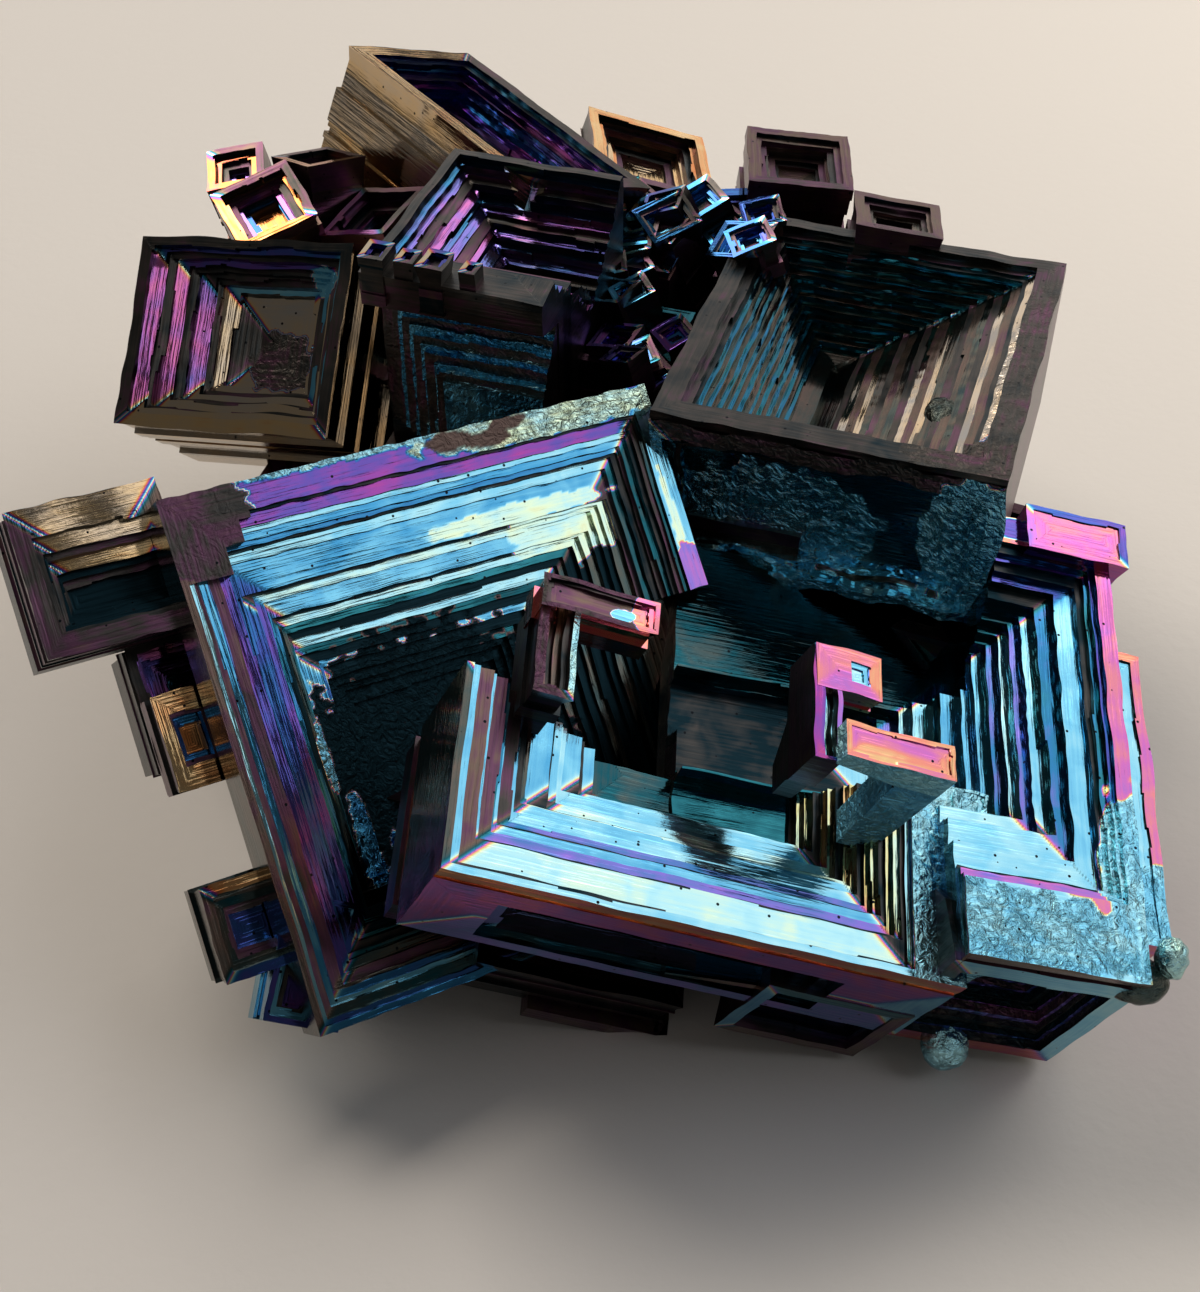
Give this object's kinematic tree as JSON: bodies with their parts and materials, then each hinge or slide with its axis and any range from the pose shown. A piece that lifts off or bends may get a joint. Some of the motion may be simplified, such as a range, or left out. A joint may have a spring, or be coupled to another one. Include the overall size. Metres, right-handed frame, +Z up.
{
  "type": "bismuth hopper crystal",
  "caption": "Cluster of intergrown bismuth hopper crystals with stepped square pits and a flat sawn base",
  "frame": {"origin": "a point on the flat face that the cluster rests on, below the deep left hopper", "axes": "+Z up, away from the resting face; +X to the right and +Y to the back as the specimen is shown from its front"},
  "size_m": [0.0737, 0.0764, 0.0363],
  "materials": {
    "oxidised_bismuth": "bright crystalline bismuth under a thin iridescent oxide film, blue, violet, magenta and gold"
  },
  "bodies": {
    "root": {"bismuth_cluster": "oxidised_bismuth"}
  },
  "joints": []
}
